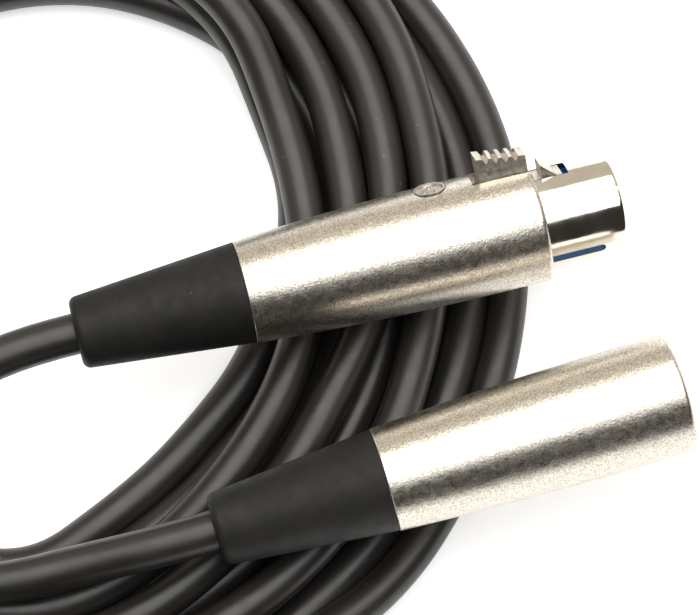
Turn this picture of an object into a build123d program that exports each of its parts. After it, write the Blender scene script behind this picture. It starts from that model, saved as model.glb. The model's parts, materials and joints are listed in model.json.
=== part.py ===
from build123d import *
import os
from math import cos, pi, radians, sin, tan

# A microphone cable: a loose coil with a female and a male three-pole connector lying across it.
# Millimetres, +Z up. The origin is under the middle of the whole object, on the surface it lies on.
# Each connector is drawn along +X from the seam between its boot and its shell (x = 0 on its axis),
# with local +Z towards its latch, and is then laid on the coil.

# ---- driving dimensions -------------------------------------------------------------------------

CABLE_R = 3.25

FEMALE_SEAM = (26.0, -18.0, 22.75)
FEMALE_ROLL = -49.0
MALE_SEAM = (39.6, -52.45, 21.3)
MALE_YAW = 2.0
MALE_NOSE_UP = 2.5
MALE_ROLL = 180.0

SHELL_LENGTH = 47.8
SHELL_REAR_R = 8.2
SHELL_FRONT_R = 9.6
MALE_FRONT_R = 9.4
SHELL_EDGE_R = 0.8
REAR_CHAMFER = 0.25
REAR_BORE_R = 7.0
REAR_BORE_END = 26.0

BOOT_LENGTH = 27.0
BOOT_REAR_R = 5.65
BOOT_FRONT_R = 8.1
BOOT_EDGE_R = 1.3
NECK_R = 6.9
NECK_LENGTH = 7.0
BOOT_HOLLOW_R = 5.9
BOOT_HOLLOW_REAR = -9.0
BOOT_THROAT_FRONT = -11.0

CLAMP_R = 5.8
CLAMP_REAR = -8.5
CLAMP_FRONT = 5.0
CLAMP_GAP = 0.8
CLAMP_SCREW_R = 0.6
CLAMP_SCREW_Y = 4.55
CLAMP_SCREW_X = (-5.5, 2.0)
JACKET_FRONT = 7.0

NOSE_R = 8.0
NOSE_BORE_R = 7.2
NOSE_REAR = 27.0
NOSE_TIP = 60.4
NOSE_LIP = 0.7
SLIT_ANGLE = 49.0
SLIT_HALF_WIDTH = 0.17
SLIT_CUT_Z = (7.4, 9.0)
STEP_Y = (-0.95, -0.30)
STEP_CUT_Z = (7.88, 9.0)
KEY_SLOT_ANGLE = 122.0
KEY_SLOT_FRONT = 56.6
KEY_SLOT_HALF_WIDTH = 0.82
KEY_SLOT_CUT_Z = (6.0, 9.0)
INSERT_REAR = 29.5
INSERT_FACE = NOSE_TIP - NOSE_LIP

CONTACT_PLACES = ((3.81, 2.1), (-3.81, 2.1), (0.0, -4.25))
PIN_R = 1.2
PIN_TIP = 45.0
PIN_COLLAR_R = 1.5
PIN_COLLAR_HEIGHT = 0.5
CONTACT_HOLE_R = 1.52
SOCKET_BORE_R = 1.25
SOCKET_BORE_END = 42.0
SOCKET_WALL_R = 1.6
CUP_REAR = 20.0
CUP_FLOOR = 24.0
CUP_FRONT = 26.0
CUP_R = 1.4
CUP_WALL = 0.35

MALE_BORE_R = 8.2
MALE_MOUTH_R = 8.35
MALE_MOUTH_REAR = 45.3
MALE_FLOOR = 33.0

LATCH_HALF_WIDTH = 2.05
LATCH_SLOT_HALF_WIDTH = 2.35
LATCH_SLOT_CUT_Z = (6.0, 12.0)
LATCH_PIVOT = (31.5, 6.65)
PIVOT_R = 0.45
LATCH_BAR_LOW = 6.5
LATCH_BAR_TOP = 7.6
LATCH_TIP = 52.6
THUMB_REAR = 39.5
THUMB_FRONT = 47.3
THUMB_REAR_TOP = 13.15
THUMB_FRONT_TOP = 12.1
THUMB_GAP = 1.2
GROOVE_COUNT = 4
GROOVE_DEPTH = 0.85
GROOVE_HALF_MOUTH = 0.62
HOOK_REAR = 49.3
HOOK_FRONT = 51.7
HOOK_TOP = 9.8
LEVER_EYE_R = 0.95
WINDOW_FRONT = 53.5
WINDOW_CUT_Z = (5.0, 9.0)
BADGE_X = 31.8
BADGE_R = 2.5
BADGE_FLOOR = 9.08
BADGE_GAP = 0.15
BADGE_PLATE = 0.22
BADGE_RIM_HEIGHT = 0.55
BADGE_RIM_WIDTH = 0.35
BADGE_DOT_R = 0.38
BADGE_DOT_SPREAD = 1.05
BADGE_DOT_HEIGHT = 0.42
FEMALE_SCREW_X = 37.5
MALE_SCREW_X = 29.5
SCREW_R = 1.0
SCREW_POINT_Z = -6.1
SCREW_SEAT_Z = -8.25
SCREW_TOP_Z = -9.1
SCREW_SLOT_HALF_WIDTH = 0.15
SCREW_SLOT_DEPTH = 0.5
CHANNEL_FLOOR = 4.0
CHANNEL_FRONT = 54.2
CHANNEL_HALF_WIDTH = 2.6
SPRING_X = 43.5
SPRING_R = 1.1
SPRING_WIRE_R = 0.2
SPRING_PITCH = 0.85
SPRING_FOOT = 2.1
SPRING_POCKET_R = 1.9
SPRING_POCKET_FLOOR = 0.4

COIL_CENTRE = (-7.5, 0.0)
COIL_RX = 80.3
COIL_RY = 78.0
COIL_STEP = 3.5
COIL_HEIGHT = 13.0
COIL_RIM_HEIGHT = 6.6
COIL_RIM_EDGE = 2.6
COIL_TOP_EDGE = 1.5
COIL_HOLE_EDGE = 3.0
COIL_HOLE_CENTRE = (-9.0, 1.5)
COIL_HOLE_RX = 43.5
COIL_HOLE_RY = 46.0

# The leads are straight runs whose corners are rounded, from the coil to each boot.
FEMALE_LEAD = [
    (-1.0, -18.0, 22.75),
    (-16.1, -18.0, 22.8),
    (-29.2, -25.6, 23.0),
    (-36.8, -38.7, 23.2),
    (-36.8, -53.9, 22.0),
    (-29.2, -67.0, 18.7),
    (-16.1, -74.4, 15.3),
]
MALE_LEAD = [
    (-34.0, -49.8, 15.9),
    (-21.4, -52.6, 16.3),
    (-8.0, -52.9, 17.4),
    (4.65, -53.67, 19.77),
    (12.64, -53.39, 20.12),
]
ARC_SHARE = 0.45

# How far a cutter runs past the face it cuts.
PAST = 1.0


# ---- helpers ------------------------------------------------------------------------------------

def female_place():
    return Location(FEMALE_SEAM) * Rotation(FEMALE_ROLL, 0, 0)


def male_place():
    aim = Rotation(0, 0, MALE_YAW) * Rotation(0, -MALE_NOSE_UP, 0)
    return Location(MALE_SEAM) * aim * Rotation(MALE_ROLL, 0, 0)


def turned(*edges):
    """A solid of revolution about the X axis, from edges drawn as (x, radius)."""
    return revolve(make_face(edges), Axis.X)


def tube_x(start, end, outer, inner=0.0):
    """A round bar or tube along the X axis."""
    corners = Polyline((start, inner), (start, outer), (end, outer), (end, inner), close=True)
    return revolve(make_face(corners), Axis.X)


def rod(start, end, radius, place):
    """A round bar along X at a place (y, z) beside the axis."""
    return Location((0, place[0], place[1])) * tube_x(start, end, radius)


def block(x, y, z):
    """A box from its (low, high) limits along each axis."""
    size = [high - low for low, high in (x, y, z)]
    middle = [(low + high) / 2 for low, high in (x, y, z)]
    return Location(middle) * Box(*size)


def upright_disc(radius, height):
    """A round disc that stands on the XY plane."""
    return Location((0, 0, height / 2)) * Cylinder(radius, height)


def bar_across(x, z, radius, half_length):
    """A round bar along Y."""
    return Location((x, 0, z), (90, 0, 0)) * Cylinder(radius, 2 * half_length)


def around_axis(angle, shape):
    """Turn a shape about X, by degrees from the latch towards -Y."""
    return Rotation(angle, 0, 0) * shape


def rounded_path(points):
    """Straight runs joined by tangent arcs, each as large as its two runs allow."""
    corners = [Vector(*point) for point in points]
    arcs = []
    for before, here, after in zip(corners, corners[1:], corners[2:]):
        turn = radians((here - before).get_angle(after - here))
        shorter = min((here - before).length, (after - here).length)
        arcs.append(ARC_SHARE * shorter / tan(turn / 2))
    return FilletPolyline(*points, radius=arcs), arcs


def swept(points, radius, name):
    """A round cord or wire along a rounded path."""
    path, arcs = rounded_path(points)
    start = Plane(origin=path @ 0, z_dir=path % 0)
    solid = sweep(start * Circle(radius), path=path)
    ratio = solid.volume / (pi * radius ** 2 * path.length)
    listed = " ".join(f"{arc:.1f}" for arc in arcs)
    print(f"{name}: length {path.length:.1f}, volume ratio {ratio:.4f}, arc radii {listed}")
    return solid


# ---- shells -------------------------------------------------------------------------------------

def shell_body(front_r, bore_r):
    """The tapered barrel, bored for the boot's neck behind and for the nose or pins in front."""
    edge_x = SHELL_LENGTH - SHELL_EDGE_R
    side = ThreePointArc((REAR_CHAMFER, SHELL_REAR_R), (18.0, front_r - 0.4), (edge_x, front_r))
    corner = RadiusArc((edge_x, front_r), (SHELL_LENGTH, front_r - SHELL_EDGE_R), SHELL_EDGE_R)
    inside = Polyline(
        (SHELL_LENGTH, front_r - SHELL_EDGE_R),
        (SHELL_LENGTH, bore_r),
        (REAR_BORE_END, bore_r),
        (REAR_BORE_END, REAR_BORE_R),
        (0, REAR_BORE_R),
        (0, SHELL_REAR_R - REAR_CHAMFER),
        (REAR_CHAMFER, SHELL_REAR_R),
    )
    return turned(side, corner, inside)


def screw_hole(x, radius):
    """A cutter for the insert screw's hole, through the wall opposite the latch."""
    return Location((x, 0, -NOSE_R)) * Cylinder(radius, 6.0)


def male_screw_hole(radius):
    """The same cutter for the plug, whose screw is on the side that faces the floor."""
    return around_axis(180, screw_hole(MALE_SCREW_X, radius))


def female_shell():
    body = shell_body(SHELL_FRONT_R, NOSE_R + 0.03)
    latch_slot = block(
        (THUMB_REAR - THUMB_GAP, SHELL_LENGTH + PAST),
        (-LATCH_SLOT_HALF_WIDTH, LATCH_SLOT_HALF_WIDTH),
        LATCH_SLOT_CUT_Z,
    )
    badge_floor = Location((BADGE_X, 0, BADGE_FLOOR + PAST)) * Cylinder(BADGE_R + BADGE_GAP, 2 * PAST)
    return body - latch_slot - badge_floor - screw_hole(FEMALE_SCREW_X, SCREW_R)


def female_badge():
    """A round plate let into the shell, with a raised rim and three raised dots."""
    plate = upright_disc(BADGE_R, BADGE_PLATE)
    rim = upright_disc(BADGE_R, BADGE_RIM_HEIGHT) - upright_disc(BADGE_R - BADGE_RIM_WIDTH, BADGE_RIM_HEIGHT)
    badge = plate + rim
    for angle in (90, 210, 330):
        spread = Vector(BADGE_DOT_SPREAD, 0, 0).rotate(Axis.Z, angle)
        badge += Location(spread) * upright_disc(BADGE_DOT_R, BADGE_DOT_HEIGHT)
    return Location((BADGE_X, 0, BADGE_FLOOR)) * badge


def male_shell():
    body = shell_body(MALE_FRONT_R, MALE_BORE_R)
    mouth = tube_x(MALE_MOUTH_REAR, SHELL_LENGTH + PAST, MALE_MOUTH_R)
    return body - mouth - male_screw_hole(SCREW_R)


# ---- boots --------------------------------------------------------------------------------------

def boot():
    """The tapered rubber boot, with a hollow for the clamp and a neck that screws into the shell."""
    slope = (BOOT_FRONT_R - BOOT_REAR_R) / BOOT_LENGTH
    edge_end = (-BOOT_LENGTH + BOOT_EDGE_R, BOOT_REAR_R + slope * BOOT_EDGE_R)
    rear_edge = RadiusArc((-BOOT_LENGTH, BOOT_REAR_R - BOOT_EDGE_R), edge_end, BOOT_EDGE_R)
    outside = Polyline(
        edge_end,
        (0, BOOT_FRONT_R),
        (0, NECK_R),
        (NECK_LENGTH, NECK_R),
        (NECK_LENGTH, BOOT_HOLLOW_R),
        (BOOT_HOLLOW_REAR, BOOT_HOLLOW_R),
        (BOOT_THROAT_FRONT, CABLE_R + 0.05),
        (-BOOT_LENGTH, CABLE_R + 0.05),
        (-BOOT_LENGTH, BOOT_REAR_R - BOOT_EDGE_R),
    )
    return turned(rear_edge, outside)


# ---- female inner pieces ------------------------------------------------------------------------

def key_slot():
    """A long round-ended slot through the nose wall, drawn at the latch's angle."""
    rear = NOSE_REAR + 6
    straight_front = KEY_SLOT_FRONT - KEY_SLOT_HALF_WIDTH
    slot = block((rear, straight_front), (-KEY_SLOT_HALF_WIDTH, KEY_SLOT_HALF_WIDTH), KEY_SLOT_CUT_Z)
    return slot + Location((straight_front, 0, 7.5)) * Cylinder(KEY_SLOT_HALF_WIDTH, 3.0)


def nose_sleeve():
    """The polished sleeve, open over the latch lever and slotted where the insert's key runs."""
    outline = Polyline(
        (NOSE_TIP, NOSE_R - NOSE_LIP),
        (NOSE_TIP, NOSE_BORE_R),
        (NOSE_REAR, NOSE_BORE_R),
        (NOSE_REAR, NOSE_R),
        (NOSE_TIP - NOSE_LIP, NOSE_R),
    )
    lip = RadiusArc((NOSE_TIP - NOSE_LIP, NOSE_R), (NOSE_TIP, NOSE_R - NOSE_LIP), NOSE_LIP)
    sleeve = turned(outline, lip)
    latch_window = block(
        (NOSE_REAR - PAST, WINDOW_FRONT),
        (-LATCH_SLOT_HALF_WIDTH, LATCH_SLOT_HALF_WIDTH),
        WINDOW_CUT_Z,
    )
    slit = block((SHELL_LENGTH + 0.2, NOSE_TIP - 0.6), (-SLIT_HALF_WIDTH, SLIT_HALF_WIDTH), SLIT_CUT_Z)
    flat_step = block((SHELL_LENGTH - 6, NOSE_TIP + PAST), STEP_Y, STEP_CUT_Z)
    sleeve -= latch_window
    sleeve -= bar_across(LATCH_PIVOT[0], LATCH_PIVOT[1], PIVOT_R + 0.01, 6.0)
    for angle in (SLIT_ANGLE, -SLIT_ANGLE):
        sleeve -= around_axis(angle, slit)
    sleeve -= around_axis(SLIT_ANGLE, flat_step)
    for angle in (KEY_SLOT_ANGLE, -KEY_SLOT_ANGLE):
        sleeve -= around_axis(angle, key_slot())
    return sleeve - screw_hole(FEMALE_SCREW_X, SCREW_R)


def female_insert():
    """The blue insulator, with three contact holes, the lever's channel and the spring's pocket."""
    body = tube_x(INSERT_REAR, INSERT_FACE, NOSE_BORE_R - 0.04)
    channel_width = (-CHANNEL_HALF_WIDTH, CHANNEL_HALF_WIDTH)
    body -= block((INSERT_REAR - PAST, CHANNEL_FRONT), channel_width, (CHANNEL_FLOOR, NOSE_R + PAST))
    body -= bar_across(*LATCH_PIVOT, PIVOT_R + 0.1, 6.0)
    pocket_depth = CHANNEL_FLOOR - SPRING_POCKET_FLOOR
    pocket_middle = (CHANNEL_FLOOR + SPRING_POCKET_FLOOR) / 2
    body -= Location((SPRING_X, 0, pocket_middle)) * Cylinder(SPRING_POCKET_R, pocket_depth)
    for place in CONTACT_PLACES:
        body -= rod(INSERT_REAR - PAST, INSERT_FACE - 0.8, SOCKET_WALL_R + 0.02, place)
        body -= rod(INSERT_FACE - PAST, INSERT_FACE + PAST, SOCKET_BORE_R + 0.1, place)
    return body - screw_hole(FEMALE_SCREW_X, SCREW_R - 0.2)


def solder_cup(place):
    """The open cup behind a contact, which takes a bared core."""
    y, z = place
    cup = rod(CUP_REAR, CUP_FRONT, CUP_R, place) - rod(CUP_REAR - PAST, CUP_FLOOR, CUP_R - CUP_WALL, place)
    notch = block((CUP_REAR - PAST, CUP_FLOOR - 0.5), (y - 2, y + 2), (z + 0.45, z + 2))
    return cup - notch


def female_contact(place):
    """A tube that takes a pin of 2.4 mm, closed behind, with its solder cup."""
    tube = rod(CUP_FRONT - 0.5, INSERT_FACE - 0.85, SOCKET_WALL_R, place)
    bore = rod(SOCKET_BORE_END, INSERT_FACE, SOCKET_BORE_R, place)
    return tube - bore + solder_cup(place)


def latch_lever():
    """The sprung lever: a bar on the hinge pin, a ribbed thumb pad and a ramped hook."""
    width = 2 * LATCH_HALF_WIDTH
    pivot_x, pivot_z = LATCH_PIVOT
    side = Polyline(
        (pivot_x - LEVER_EYE_R, LATCH_BAR_LOW + 0.15),
        (pivot_x - LEVER_EYE_R, LATCH_BAR_TOP),
        (THUMB_REAR, LATCH_BAR_TOP),
        (THUMB_REAR, THUMB_REAR_TOP),
        (THUMB_FRONT, THUMB_FRONT_TOP),
        (THUMB_FRONT, LATCH_BAR_TOP),
        (HOOK_REAR, LATCH_BAR_TOP),
        (HOOK_REAR, HOOK_TOP),
        (HOOK_FRONT, LATCH_BAR_TOP),
        (LATCH_TIP, LATCH_BAR_TOP),
        (LATCH_TIP, LATCH_BAR_LOW),
        (pivot_x, LATCH_BAR_LOW),
        close=True,
    )
    upright = Plane(origin=(0, LATCH_HALF_WIDTH, 0), x_dir=(1, 0, 0), z_dir=(0, -1, 0))
    lever = extrude(upright * make_face(side), width)
    lever += bar_across(pivot_x, pivot_z, LEVER_EYE_R, LATCH_HALF_WIDTH)
    lever -= bar_across(pivot_x, pivot_z, PIVOT_R + 0.05, 6.0)
    for groove in thumb_grooves():
        lever -= groove
    return lever


def thumb_grooves():
    """Four V-grooves across the thumb pad, evenly spaced down its slope."""
    pitch = (THUMB_FRONT - THUMB_REAR) / (GROOVE_COUNT + 1)
    cutters = []
    for index in range(1, GROOVE_COUNT + 1):
        x = THUMB_REAR + index * pitch
        share = (x - THUMB_REAR) / (THUMB_FRONT - THUMB_REAR)
        top = THUMB_REAR_TOP + share * (THUMB_FRONT_TOP - THUMB_REAR_TOP)
        mouth = top + 0.15
        bottom = (x, top - GROOVE_DEPTH)
        notch = Polyline((x - GROOVE_HALF_MOUTH, mouth), bottom, (x + GROOVE_HALF_MOUTH, mouth), close=True)
        upright = Plane(origin=(0, LATCH_HALF_WIDTH + 1, 0), x_dir=(1, 0, 0), z_dir=(0, -1, 0))
        cutters.append(extrude(upright * make_face(notch), 2 * LATCH_HALF_WIDTH + 2))
    return cutters


def latch_spring():
    """A small coil spring under the thumb pad, standing in the insert's pocket."""
    height = LATCH_BAR_LOW - SPRING_WIRE_R - 0.02 - SPRING_FOOT
    coil = Helix(pitch=SPRING_PITCH, height=height, radius=SPRING_R)
    start = Plane(origin=coil @ 0, z_dir=coil % 0)
    spring = sweep(start * Circle(SPRING_WIRE_R), path=coil, is_frenet=True)
    return Location((SPRING_X, 0, SPRING_FOOT)) * spring


# ---- male inner pieces --------------------------------------------------------------------------

def male_insert():
    """The blue insulator that carries the pins across the shell's floor."""
    disc = tube_x(REAR_BORE_END + 0.05, MALE_FLOOR, MALE_BORE_R - 0.03)
    stem = tube_x(22.5, REAR_BORE_END + 0.05, REAR_BORE_R - 0.1)
    body = disc + stem
    for place in CONTACT_PLACES:
        body -= rod(CUP_REAR, MALE_FLOOR + PAST, CONTACT_HOLE_R, place)
    return body - male_screw_hole(SCREW_R - 0.2)


def male_pin(place):
    """A contact pin with a domed tip, a collar that stands out of the insert and a solder cup."""
    dome = PIN_R * 0.75
    pin = rod(CUP_FRONT, PIN_TIP, PIN_R, place)
    pin = fillet(pin.edges().sort_by(Axis.X)[-1], dome)
    collar = rod(CUP_FRONT - 0.5, MALE_FLOOR + PIN_COLLAR_HEIGHT, PIN_COLLAR_R, place)
    return pin + collar + solder_cup(place)


# ---- pieces that both connectors have -----------------------------------------------------------

def cable_clamp():
    """Two half shells that grip the cable's jacket inside the boot."""
    shell = tube_x(CLAMP_REAR, CLAMP_FRONT, CLAMP_R, CABLE_R + 0.02)
    gap = block((CLAMP_REAR - PAST, CLAMP_FRONT + PAST), (-CLAMP_R, CLAMP_R), (-CLAMP_GAP / 2, CLAMP_GAP / 2))
    halves = shell - gap
    for x in CLAMP_SCREW_X:
        for y in (CLAMP_SCREW_Y, -CLAMP_SCREW_Y):
            halves -= Location((x, y, 0)) * Cylinder(CLAMP_SCREW_R + 0.02, 12.0)
    return halves


def clamp_screws():
    """Four small headless screws that pull the clamp's halves together."""
    screws = []
    for x in CLAMP_SCREW_X:
        for y in (CLAMP_SCREW_Y, -CLAMP_SCREW_Y):
            screws.append(Location((x, y, 0)) * Cylinder(CLAMP_SCREW_R, 5.2))
    return Compound(screws)


def insert_screw(x):
    """The small screw that holds the insert in its shell, with a slotted head."""
    shank = Location((x, 0, SCREW_SEAT_Z)) * upright_disc(SCREW_R - 0.25, SCREW_POINT_Z - SCREW_SEAT_Z)
    head = Location((x, 0, SCREW_TOP_Z)) * upright_disc(SCREW_R - 0.05, SCREW_SEAT_Z - SCREW_TOP_Z)
    slot = block(
        (x - 2 * SCREW_R, x + 2 * SCREW_R),
        (-SCREW_SLOT_HALF_WIDTH, SCREW_SLOT_HALF_WIDTH),
        (SCREW_TOP_Z - PAST, SCREW_TOP_Z + SCREW_SLOT_DEPTH),
    )
    return shank + head - slot


def cable_end():
    """The jacketed end of the cable inside the boot and clamp."""
    return tube_x(-BOOT_LENGTH, JACKET_FRONT, CABLE_R)


def core_wire(place, angle, radius, name):
    """One wire from the jacket's end to a solder cup."""
    jacket_y = 1.5 * cos(radians(angle))
    jacket_z = 1.5 * sin(radians(angle))
    points = [
        (JACKET_FRONT, jacket_y, jacket_z),
        (JACKET_FRONT + 3.0, jacket_y + 0.15, jacket_z),
        (CUP_REAR - 3.0, place[0] - 0.1, place[1]),
        (CUP_FLOOR - 0.2, place[0], place[1] + 0.05),
    ]
    return swept(points, radius, name)


# ---- the cable ----------------------------------------------------------------------------------

def oval(rx, ry, height, edge):
    """A flat oval disc on the floor, with its upper edge rounded."""
    disc = extrude(Ellipse(rx, ry), height)
    return fillet(disc.edges().group_by(Axis.Z)[-1], edge)


def coil_solid():
    """The coil's outer shape: one layer of turns at the rim and two inside it, with an oval hole."""
    rim = oval(COIL_RX, COIL_RY, COIL_RIM_HEIGHT, COIL_RIM_EDGE)
    upper = oval(COIL_RX - COIL_STEP, COIL_RY - COIL_STEP, COIL_HEIGHT, COIL_TOP_EDGE)
    hole = extrude(Ellipse(COIL_HOLE_RX, COIL_HOLE_RY), COIL_HEIGHT)
    ring = Location((*COIL_CENTRE, 0)) * (rim + upper) - Location((*COIL_HOLE_CENTRE, 0)) * hole
    inner = [edge for edge in ring.edges() if edge.bounding_box().size.X < 2 * COIL_HOLE_RX + 1]
    return fillet(inner, COIL_HOLE_EDGE)


# ---- all nodes ----------------------------------------------------------------------------------

def build_nodes():
    female = {
        "female_shell": female_shell(),
        "female_badge": female_badge(),
        "female_boot": boot(),
        "female_nose": nose_sleeve(),
        "female_insert": female_insert(),
        "latch_lever": latch_lever(),
        "latch_pin": bar_across(*LATCH_PIVOT, PIVOT_R, 3.6),
        "latch_spring": latch_spring(),
        "female_clamp": cable_clamp(),
        "female_clamp_screws": clamp_screws(),
        "female_insert_screw": insert_screw(FEMALE_SCREW_X),
        "female_cable_end": cable_end(),
    }
    male = {
        "male_shell": male_shell(),
        "male_boot": boot(),
        "male_insert": male_insert(),
        "male_clamp": cable_clamp(),
        "male_clamp_screws": clamp_screws(),
        "male_insert_screw": around_axis(180, insert_screw(MALE_SCREW_X)),
        "male_cable_end": cable_end(),
    }
    wires = (("drain_wire", 90, 0.4), ("red_core", 210, 0.65), ("white_core", 330, 0.65))
    for number, place in enumerate(CONTACT_PLACES, start=1):
        female[f"female_contact_{number}"] = female_contact(place)
        male[f"male_pin_{number}"] = male_pin(place)
    for (wire, angle, radius), place in zip(wires, CONTACT_PLACES):
        female[f"female_{wire}"] = core_wire(place, angle, radius, f"female_{wire}")
        male[f"male_{wire}"] = core_wire(place, angle, radius, f"male_{wire}")
    nodes = {name: female_place() * solid for name, solid in female.items()}
    nodes.update({name: male_place() * solid for name, solid in male.items()})
    nodes["cable_coil"] = coil_solid()
    nodes["female_lead"] = swept(FEMALE_LEAD, CABLE_R, "female_lead")
    nodes["male_lead"] = swept(MALE_LEAD, CABLE_R, "male_lead")
    return nodes


os.makedirs("parts", exist_ok=True)
for node, solid in build_nodes().items():
    export_step(solid, f"parts/{node}.step")
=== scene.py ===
import bpy
import json
import math
from mathutils import Matrix, Vector

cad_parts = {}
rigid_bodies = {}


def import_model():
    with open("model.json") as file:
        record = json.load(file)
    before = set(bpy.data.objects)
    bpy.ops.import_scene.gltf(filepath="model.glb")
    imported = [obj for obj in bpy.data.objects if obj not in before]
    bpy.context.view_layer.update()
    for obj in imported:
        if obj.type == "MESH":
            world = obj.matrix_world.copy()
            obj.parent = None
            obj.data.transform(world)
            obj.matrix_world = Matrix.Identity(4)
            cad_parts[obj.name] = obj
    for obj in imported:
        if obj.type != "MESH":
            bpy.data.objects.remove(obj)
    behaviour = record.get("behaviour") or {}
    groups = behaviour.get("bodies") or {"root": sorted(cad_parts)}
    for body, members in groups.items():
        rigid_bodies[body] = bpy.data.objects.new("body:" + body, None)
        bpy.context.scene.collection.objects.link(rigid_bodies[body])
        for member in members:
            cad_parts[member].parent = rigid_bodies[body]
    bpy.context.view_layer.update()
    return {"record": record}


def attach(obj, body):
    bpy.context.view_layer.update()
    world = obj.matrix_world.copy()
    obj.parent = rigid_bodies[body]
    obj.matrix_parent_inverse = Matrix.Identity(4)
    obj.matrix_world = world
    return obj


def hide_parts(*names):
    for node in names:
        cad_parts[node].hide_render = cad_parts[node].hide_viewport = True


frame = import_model()

# ---- camera ---------------------------------------------------------------------------------------

CAMERA_RIGHT = Vector((0.9681, -0.2504, 0.0))
CAMERA_UP = Vector((0.2381, 0.9208, 0.3090))
CAMERA_BACK = Vector((-0.0774, -0.2992, 0.9511))
FEMALE_SEAM = Vector((0.026, -0.018, 0.0226))
CAMERA_DISTANCE = 0.470
CAMERA_LENS = 154.3
CAMERA_SENSOR = 36.0
VIEW_RIGHT_OF_SEAM = 0.0166
VIEW_BELOW_SEAM = 0.0023


def make_camera():
    target = FEMALE_SEAM + VIEW_RIGHT_OF_SEAM * CAMERA_RIGHT - VIEW_BELOW_SEAM * CAMERA_UP
    data = bpy.data.cameras.new("camera")
    data.lens = CAMERA_LENS
    data.sensor_width = CAMERA_SENSOR
    data.clip_start = 0.01
    camera = bpy.data.objects.new("camera", data)
    axes = Matrix((CAMERA_RIGHT, CAMERA_UP, CAMERA_BACK)).transposed()
    camera.matrix_world = Matrix.Translation(target + CAMERA_DISTANCE * CAMERA_BACK) @ axes.to_4x4()
    bpy.context.scene.collection.objects.link(camera)
    bpy.context.scene.camera = camera


# ---- the cable's route ----------------------------------------------------------------------------

CABLE_RADIUS = 0.00325
COIL_MIDDLE = (-0.007, 0.0)
STEP = 15
FIRST_ANGLE = -100
LAST_ANGLE = 260
# The least distance between turns that pass one angle, a little under the cable's diameter.
TURN_SPACE = 0.00635
SETTLE_ROUNDS = 80
SETTLE_PUSHES = 6
SETTLE_PULL = 0.1

FEMALE_LEAD = [
    (-0.0010, -0.0180, 0.02275),
    (-0.0161, -0.0180, 0.0228),
    (-0.0292, -0.0256, 0.0230),
    (-0.0368, -0.0387, 0.0232),
    (-0.0368, -0.0539, 0.0220),
    (-0.0292, -0.0670, 0.0187),
    (-0.0161, -0.0744, 0.0153),
]
MALE_LEAD = [
    (-0.0340, -0.0498, 0.0159),
    (-0.0214, -0.0526, 0.0163),
    (-0.0080, -0.0529, 0.0174),
    (0.00465, -0.05367, 0.01977),
    (0.01264, -0.05339, 0.02012),
]

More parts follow.
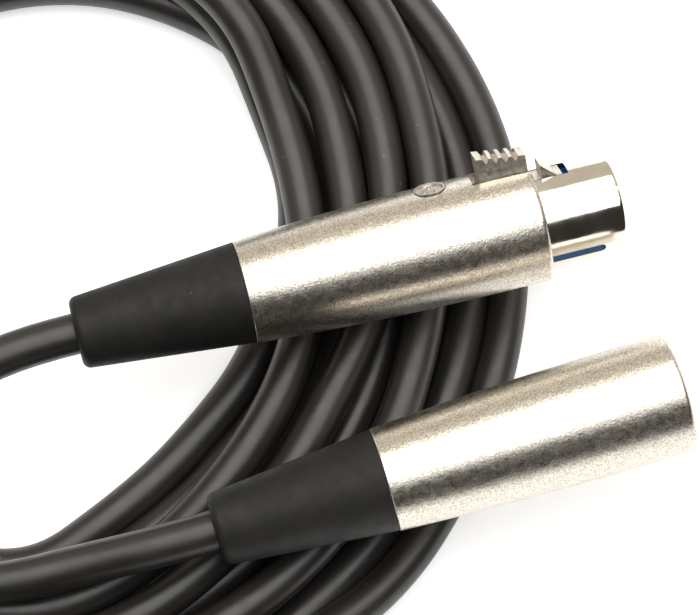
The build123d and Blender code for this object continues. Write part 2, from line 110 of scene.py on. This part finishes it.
# Each turn of the coil: (angle in degrees, distance from the coil's middle and height, in mm). Turns 1
# to 6 lie on the floor side by side, from the outermost inwards, and 7 to 10 lie on top of them.
TURNS = [
    [(-100, 73.6, 15.5), (-85, 73.7, 12.5), (-70, 76.2, 7.0), (-55, 78.3, 3.3), (-40, 77.8, 3.3),
     (-25, 78.0, 3.3), (-10, 79.4, 3.3), (5, 79.8, 3.3), (20, 79.2, 3.3), (30, 78.9, 3.3),
     (50, 78.8, 3.3), (60, 78.1, 3.3), (75, 76.8, 3.3), (90, 74.5, 3.3), (125, 75.0, 3.3),
     (170, 76.8, 3.3), (215, 76.5, 3.3)],
    [(-100, 75.0, 8.8), (-85, 73.8, 3.3), (-60, 72.2, 3.3), (-40, 71.4, 3.3), (-25, 71.6, 3.3),
     (-10, 73.0, 3.3), (5, 73.4, 3.3), (20, 72.8, 3.3), (30, 72.8, 3.3), (50, 72.5, 3.3),
     (60, 71.9, 3.3), (75, 70.9, 3.3), (90, 68.5, 3.3), (125, 68.7, 3.3), (170, 70.4, 3.3),
     (215, 70.2, 3.3)],
    [(-100, 73.2, 3.3), (-85, 68.0, 3.3), (-60, 66.0, 3.3), (-40, 65.0, 3.3), (-25, 65.2, 3.3),
     (-10, 66.6, 3.3), (5, 67.0, 3.3), (20, 66.4, 3.3), (35, 66.8, 3.3), (50, 66.2, 3.3),
     (60, 65.6, 3.3), (75, 64.9, 3.3), (90, 62.6, 3.3), (125, 62.4, 3.3), (170, 64.0, 3.3),
     (215, 64.4, 3.3)],
    [(-100, 67.6, 3.3), (-85, 62.0, 3.3), (-60, 59.6, 3.3), (-40, 58.6, 3.3), (-25, 58.8, 3.3),
     (-10, 60.1, 3.3), (5, 60.4, 3.3), (20, 60.6, 3.3), (35, 61.6, 3.3), (50, 59.8, 3.3),
     (60, 59.3, 3.3), (75, 58.7, 3.3), (90, 56.6, 3.3), (125, 56.1, 3.3), (170, 57.6, 3.3),
     (215, 58.2, 3.3)],
    [(-100, 55.5, 3.3), (-85, 50.0, 3.3), (-65, 45.9, 3.3), (-45, 45.4, 3.3), (-25, 48.0, 3.3),
     (-10, 50.5, 3.3), (5, 53.6, 3.3), (20, 54.9, 3.3), (35, 55.4, 3.3), (42, 54.4, 3.3),
     (50, 53.3, 3.3), (60, 52.9, 3.3), (75, 52.4, 3.3), (90, 50.5, 3.3), (125, 49.8, 3.3),
     (170, 50.9, 3.3), (215, 51.4, 3.3), (245, 51.3, 3.3)],
    [(-100, 49.4, 3.3), (-90, 45.3, 3.3), (-79, 42.3, 3.3), (-70, 40.4, 3.3), (-60, 39.3, 3.3),
     (-50, 38.9, 3.3), (-33, 40.5, 3.3), (-20, 42.6, 3.3), (-2, 45.8, 3.3), (8, 47.3, 3.3),
     (20, 49.5, 5.0), (29, 51.5, 8.2), (35, 53.2, 9.8), (60, 57.5, 9.8), (90, 54.5, 9.8),
     (125, 53.8, 9.8), (170, 54.7, 9.8), (215, 54.7, 9.8)],
    [(-100, 58.6, 9.8), (-90, 55.8, 9.8), (-75, 51.8, 9.8), (-65, 49.1, 9.8), (-50, 47.5, 9.8),
     (-33, 46.6, 9.8), (-8, 46.2, 9.8), (5, 46.8, 9.8), (13, 47.5, 9.8), (20, 49.0, 9.8),
     (28, 51.4, 11.5), (37, 54.2, 15.0), (50, 56.0, 16.0), (75, 56.5, 15.0), (110, 59.0, 10.5),
     (170, 60.9, 9.8), (215, 60.8, 9.8)],
    [(-100, 61.6, 3.3), (-85, 56.0, 3.3), (-67, 53.3, 3.3), (-45, 52.3, 3.3), (-28, 52.5, 3.6),
     (-14, 53.0, 6.5), (-3, 53.3, 9.8), (1, 53.8, 9.8), (9, 55.0, 9.8), (16, 56.5, 9.8),
     (23, 58.5, 9.8), (31, 60.5, 9.8), (60, 64.2, 9.8), (90, 61.0, 9.8), (125, 63.5, 9.8),
     (170, 67.0, 9.8), (215, 66.5, 9.8)],
    [(-100, 64.4, 9.8), (-80, 60.3, 9.8), (-69, 57.6, 9.8), (-46, 54.4, 9.8), (-36, 54.6, 9.8),
     (-25, 56.0, 9.8), (-12, 58.8, 9.8), (-1, 60.6, 9.8), (6, 61.9, 9.8), (12, 63.3, 9.8),
     (19, 64.8, 9.8), (26, 66.6, 9.8), (60, 70.6, 9.8), (90, 67.3, 9.8), (125, 70.0, 9.8),
     (170, 73.4, 9.8), (215, 72.8, 9.8)],
    [(-100, 69.4, 9.8), (-69, 67.4, 9.8), (-55, 66.5, 9.8), (-35, 65.9, 9.8), (-25, 65.3, 9.8),
     (-1, 67.3, 9.8), (4, 68.2, 9.8), (10, 69.4, 9.8), (16, 70.8, 9.8), (22, 72.4, 9.8),
     (45, 76.0, 9.8), (60, 76.9, 9.8), (90, 73.6, 9.8), (115, 74.0, 11.0), (140, 74.0, 13.5),
     (170, 70.5, 16.0), (200, 65.0, 16.3), (230, 59.5, 16.3)],
]
# How easily each turn is moved aside by its neighbours.
GIVE = [0.5, 0.7, 1.0, 1.0, 0.9, 0.5, 0.6, 0.9, 0.7, 0.7]


def between(table, angle):
    """Distance and height at an angle, in metres, on straight lines between a turn's stations."""
    for (a, dist_a, high_a), (b, dist_b, high_b) in zip(table, table[1:]):
        if a <= angle <= b:
            share = (angle - a) / (b - a)
            return [(dist_a + share * (dist_b - dist_a)) / 1000, (high_a + share * (high_b - high_a)) / 1000]
    return None


def settle(crossing):
    """Ease the turns that pass one angle towards TURN_SPACE apart, and keep them off the floor."""
    wanted = {turn: list(place) for turn, place in crossing.items()}
    turns = sorted(crossing)
    for _ in range(SETTLE_ROUNDS):
        for turn in turns:
            for i in (0, 1):
                crossing[turn][i] += SETTLE_PULL * (wanted[turn][i] - crossing[turn][i])
        for _ in range(SETTLE_PUSHES):
            for one in turns:
                for other in turns[:one]:
                    a, b = crossing[one], crossing[other]
                    away = (a[0] - b[0], a[1] - b[1])
                    gap = math.hypot(*away)
                    if gap < TURN_SPACE:
                        share = GIVE[one] / (GIVE[one] + GIVE[other])
                        push = (TURN_SPACE - gap) / gap
                        for i in (0, 1):
                            a[i] += away[i] * push * share
                            b[i] -= away[i] * push * (1 - share)
            for turn in turns:
                crossing[turn][1] = max(CABLE_RADIUS, crossing[turn][1])
    return crossing


def coil_points():
    """The coil's points, turn after turn, each a diameter or so from the turns beside and under it."""
    tables = [turn + [(LAST_ANGLE, *after[0][1:])] for turn, after in zip(TURNS, TURNS[1:])] + [TURNS[-1]]
    angles = range(FIRST_ANGLE, LAST_ANGLE, STEP)
    settled = {}
    for angle in angles:
        places = {turn: between(table, angle) for turn, table in enumerate(tables)}
        settled[angle] = settle({turn: place for turn, place in places.items() if place})
    # The spline cuts inside its points, so they stand a little further out.
    cut = (3 + math.cos(math.radians(STEP))) / 4
    points = []
    for turn in range(len(TURNS)):
        for angle in angles:
            if turn in settled[angle] and (turn, angle) != (0, FIRST_ANGLE):
                dist, high = settled[angle][turn]
                x = COIL_MIDDLE[0] + dist / cut * math.cos(math.radians(angle))
                y = COIL_MIDDLE[1] + dist / cut * math.sin(math.radians(angle))
                points.append((x, y, high))
    return points


def make_cable():
    """The whole cable, from boot to boot, as one smooth line. Each point's radius is the cable's."""
    points = FEMALE_LEAD + coil_points() + MALE_LEAD
    data = bpy.data.curves.new("cable", "CURVE")
    data.dimensions = "3D"
    spline = data.splines.new("NURBS")
    spline.points.add(len(points) - 1)
    for point, place in zip(spline.points, points):
        point.co = (*place, 1.0)
        point.radius = CABLE_RADIUS
    spline.order_u = 3
    spline.use_endpoint_u = True
    spline.resolution_u = 8
    data.bevel_depth = 1.0
    data.bevel_resolution = 8
    data.use_fill_caps = True
    cable = bpy.data.objects.new("cable", data)
    bpy.context.scene.collection.objects.link(cable)
    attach(cable, "cable_assembly")
    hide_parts("cable_coil", "female_lead", "male_lead")
    return cable


# ---- materials ------------------------------------------------------------------------------------

class Surface:
    """A procedural material on one Principled shader, with its patterns laid out in metres."""

    def __init__(self, name, metallic=0.0, specular=0.5):
        self.material = bpy.data.materials.new(name)
        self.material.use_nodes = True
        self.tree = self.material.node_tree
        self.shader = self.tree.nodes["Principled BSDF"]
        self.shader.inputs["Metallic"].default_value = metallic
        self.shader.inputs["Specular IOR Level"].default_value = specular
        self.place = self.tree.nodes.new("ShaderNodeTexCoord").outputs["Object"]
        self.normal = None

    def noise(self, size, detail=2.0, stretch=None):
        """Noise whose blotches are about this size, drawn out along one axis if stretch is given."""
        node = self.tree.nodes.new("ShaderNodeTexNoise")
        node.inputs["Scale"].default_value = 1 / size
        node.inputs["Detail"].default_value = detail
        place = self.place
        if stretch:
            mapping = self.tree.nodes.new("ShaderNodeMapping")
            mapping.inputs["Scale"].default_value = stretch
            self.tree.links.new(place, mapping.inputs["Vector"])
            place = mapping.outputs["Vector"]
        self.tree.links.new(place, node.inputs["Vector"])
        return node.outputs[0]

    def specks(self, spacing, size):
        """1 in small round dots, which are sparse because few cell centres lie at the surface."""
        node = self.tree.nodes.new("ShaderNodeTexVoronoi")
        node.inputs["Scale"].default_value = 1 / spacing
        self.tree.links.new(self.place, node.inputs["Vector"])
        return self.ramp(node.outputs["Distance"], [(0.0, (1, 1, 1)), (size / spacing, (0, 0, 0))])

    def ramp(self, factor, stops):
        node = self.tree.nodes.new("ShaderNodeValToRGB")
        elements = node.color_ramp.elements
        for element, (position, colour) in zip(elements, stops):
            element.position = position
            element.color = (*colour, 1)
        self.tree.links.new(factor, node.inputs["Fac"])
        return node.outputs["Color"]

    def colour(self, factor, dark, light, low=0.35, high=0.65):
        """Base colour from dark to light as the factor goes from low to high."""
        shade = self.ramp(factor, [(low, dark), (high, light)])
        self.tree.links.new(shade, self.shader.inputs["Base Color"])
        return shade

    def over(self, mask, below, colour):
        """Base colour that turns to another colour where the mask is 1."""
        node = self.tree.nodes.new("ShaderNodeMix")
        node.data_type = "RGBA"
        self.tree.links.new(mask, node.inputs[0])
        self.tree.links.new(below, node.inputs[6])
        node.inputs[7].default_value = (*colour, 1)
        self.tree.links.new(node.outputs[2], self.shader.inputs["Base Color"])

    def roughness(self, factor, low, high):
        shade = self.ramp(factor, [(0.3, (low,) * 3), (0.7, (high,) * 3)])
        self.tree.links.new(shade, self.shader.inputs["Roughness"])

    def bump(self, height, depth):
        """Relief of this depth in metres, added to any relief that is there already."""
        node = self.tree.nodes.new("ShaderNodeBump")
        node.inputs["Strength"].default_value = 1.0
        node.inputs["Distance"].default_value = depth
        self.tree.links.new(height, node.inputs["Height"])
        if self.normal:
            self.tree.links.new(self.normal, node.inputs["Normal"])
        self.normal = node.outputs["Normal"]
        self.tree.links.new(self.normal, self.shader.inputs["Normal"])


def satin_nickel():
    """Nickel plate over a blasted surface, which sparkles in grains of about a third of a millimetre."""
    surface = Surface("satin_nickel", metallic=1.0)
    surface.colour(surface.noise(0.00028, 1.5), (0.52, 0.48, 0.41), (0.92, 0.87, 0.78))
    surface.roughness(surface.noise(0.0011, 3.0), 0.26, 0.38)
    surface.bump(surface.noise(0.00032, 1.0), 0.000030)
    return surface.material


def badge_nickel():
    surface = Surface("badge", metallic=1.0)
    surface.colour(surface.noise(0.002, 3.0), (0.68, 0.64, 0.57), (0.78, 0.74, 0.67))
    surface.roughness(surface.noise(0.0006, 2.0), 0.24, 0.36)
    surface.bump(surface.noise(0.0003, 2.0), 0.000012)
    return surface.material


def lever_nickel():
    """Nickel plate over a cast lever, duller than the sleeve."""
    surface = Surface("lever_nickel", metallic=1.0)
    surface.colour(surface.noise(0.0016, 4.0), (0.62, 0.57, 0.49), (0.78, 0.74, 0.66))
    surface.roughness(surface.noise(0.0007, 3.0), 0.34, 0.50)
    surface.bump(surface.noise(0.0003, 2.0), 0.00003)
    return surface.material


def polished_nickel():
    """Bright nickel plate with faint drawing lines, smudges and the ripple of thin pressed metal."""
    surface = Surface("polished_nickel", metallic=1.0)
    surface.colour(surface.noise(0.007, 3.0), (0.76, 0.71, 0.63), (0.86, 0.82, 0.75))
    surface.roughness(surface.noise(0.004, 5.0), 0.07, 0.17)
    surface.bump(surface.noise(0.0016, 2.0), 0.000012)
    surface.bump(surface.noise(0.00025, 2.0, stretch=(1.0, 0.06, 0.06)), 0.000003)
    return surface.material


def cable_jacket():
    """Soft PVC with a fine matte grain, faint handling marks and a little dust."""
    surface = Surface("cable_jacket", specular=0.70)
    shade = surface.colour(surface.noise(0.011, 5.0), (0.016, 0.0140, 0.0122), (0.024, 0.0212, 0.0186))
    surface.over(surface.specks(0.0042, 0.00026), shade, (0.15, 0.14, 0.13))
    surface.roughness(surface.noise(0.003, 4.0), 0.34, 0.43)
    surface.bump(surface.noise(0.0040, 3.0), 0.00003)
    surface.bump(surface.noise(0.00030, 2.0), 0.000018)
    return surface.material


def black_rubber():
    """Moulded rubber, duller and blacker than the cable, with a fine skin."""
    surface = Surface("black_rubber", specular=0.35)
    shade = surface.colour(surface.noise(0.005, 4.0), (0.011, 0.0105, 0.0098), (0.017, 0.016, 0.015))
    surface.over(surface.specks(0.0036, 0.00022), shade, (0.10, 0.095, 0.09))
    surface.roughness(surface.noise(0.002, 4.0), 0.52, 0.66)
    surface.bump(surface.noise(0.0022, 4.0), 0.00004)
    surface.bump(surface.noise(0.00028, 2.0), 0.00002)
    return surface.material


def moulded(name, dark, light, rough):
    """A moulded plastic: an even colour with slight clouds and a fine skin."""
    surface = Surface(name)
    surface.colour(surface.noise(0.004, 3.0), dark, light)
    surface.roughness(surface.noise(0.0012, 3.0), rough, rough + 0.12)
    surface.bump(surface.noise(0.0006, 2.0), 0.00001)
    return surface.material


def turned_metal(name, dark, light, rough):
    """A machined or drawn metal, with fine lines round and along it."""
    surface = Surface(name, metallic=1.0)
    surface.colour(surface.noise(0.0025, 4.0), dark, light)
    surface.roughness(surface.noise(0.0008, 3.0), rough, rough + 0.14)
    surface.bump(surface.noise(0.0002, 2.0, stretch=(1.0, 0.1, 0.1)), 0.000004)
    return surface.material


def make_materials():
    return {
        "satin_nickel": satin_nickel(),
        "badge": badge_nickel(),
        "polished_nickel": polished_nickel(),
        "cable_jacket": cable_jacket(),
        "black_rubber": black_rubber(),
        "blue_plastic": moulded("blue_plastic", (0.012, 0.21, 0.56), (0.022, 0.27, 0.68), 0.30),
        "grey_plastic": moulded("grey_plastic", (0.20, 0.20, 0.21), (0.28, 0.28, 0.29), 0.45),
        "red_core": moulded("red_core", (0.46, 0.02, 0.02), (0.60, 0.04, 0.03), 0.30),
        "white_core": moulded("white_core", (0.72, 0.71, 0.67), (0.84, 0.83, 0.80), 0.30),
        "contact_metal": turned_metal("contact_metal", (0.74, 0.60, 0.32), (0.86, 0.73, 0.44), 0.16),
        "steel": turned_metal("steel", (0.48, 0.48, 0.49), (0.62, 0.62, 0.63), 0.22),
        "copper": turned_metal("copper", (0.64, 0.33, 0.19), (0.80, 0.46, 0.30), 0.24),
    }


def paint(cable):
    """Give every node, and the cable, the material of its slot in the record."""
    materials = make_materials()
    for part in frame["record"]["subparts"]:
        for slot in bpy.data.objects[part["node"]].material_slots:
            slot.material = materials[part["material_slot"]]
    bpy.data.objects["latch_lever"].material_slots[0].material = lever_nickel()
    cable.data.materials.append(materials["cable_jacket"])


# ---- studio ---------------------------------------------------------------------------------------

FLOOR_HALF = 3.0
FLOOR_GLOW = 0.55
SOFTBOX_PLACE = (0.10, 0.05, 0.80)
SOFTBOX_SIZE = (1.00, 0.95)
SOFTBOX_RADIANCE = 2.5
ROOM_IN_FRONT = (0.40, (0.035, 0.032, 0.028, 1))
ROOM_BEHIND = (0.62, (0.62, 0.56, 0.47, 1))


def make_floor():
    """A white table that glows a little, as a lit product table does."""
    mesh = bpy.data.meshes.new("floor")
    corners = [(-1, -1), (1, -1), (1, 1), (-1, 1)]
    mesh.from_pydata([(x * FLOOR_HALF, y * FLOOR_HALF, 0) for x, y in corners], [], [(0, 1, 2, 3)])
    floor = bpy.data.objects.new("floor", mesh)
    bpy.context.scene.collection.objects.link(floor)
    surface = Surface("floor", specular=0.2)
    surface.colour(surface.noise(0.3, 2.0), (0.86, 0.86, 0.86), (0.88, 0.88, 0.88))
    surface.shader.inputs["Roughness"].default_value = 0.8
    surface.shader.inputs["Emission Color"].default_value = (1, 1, 1, 1)
    surface.shader.inputs["Emission Strength"].default_value = FLOOR_GLOW
    mesh.materials.append(surface.material)


def softbox(name, place, size, radiance):
    """A rectangular light aimed at the middle of the object."""
    data = bpy.data.lights.new(name, "AREA")
    data.shape = "RECTANGLE"
    data.size, data.size_y = size
    data.energy = math.pi * size[0] * size[1] * radiance
    light = bpy.data.objects.new(name, data)
    light.location = place
    light.rotation_euler = (-Vector(place)).to_track_quat("-Z", "Y").to_euler()
    bpy.context.scene.collection.objects.link(light)


def make_world():
    """A room that is dark in front of the object, where the camera stands, and warm and pale behind."""
    world = bpy.data.worlds.new("world")
    bpy.context.scene.world = world
    world.use_nodes = True
    tree = world.node_tree
    place = tree.nodes.new("ShaderNodeTexCoord")
    split = tree.nodes.new("ShaderNodeSeparateXYZ")
    tree.links.new(place.outputs["Generated"], split.inputs[0])
    span = tree.nodes.new("ShaderNodeMapRange")
    span.inputs["From Min"].default_value = -1.0
    tree.links.new(split.outputs["Y"], span.inputs["Value"])
    ramp = tree.nodes.new("ShaderNodeValToRGB")
    for element, (position, shade) in zip(ramp.color_ramp.elements, (ROOM_IN_FRONT, ROOM_BEHIND)):
        element.position = position
        element.color = shade
    tree.links.new(span.outputs["Result"], ramp.inputs["Fac"])
    tree.links.new(ramp.outputs["Color"], tree.nodes["Background"].inputs["Color"])


def make_studio():
    make_floor()
    make_world()
    softbox("overhead", SOFTBOX_PLACE, SOFTBOX_SIZE, SOFTBOX_RADIANCE)
    bpy.context.scene.view_settings.view_transform = "Standard"


make_camera()
cable = make_cable()
paint(cable)
make_studio()
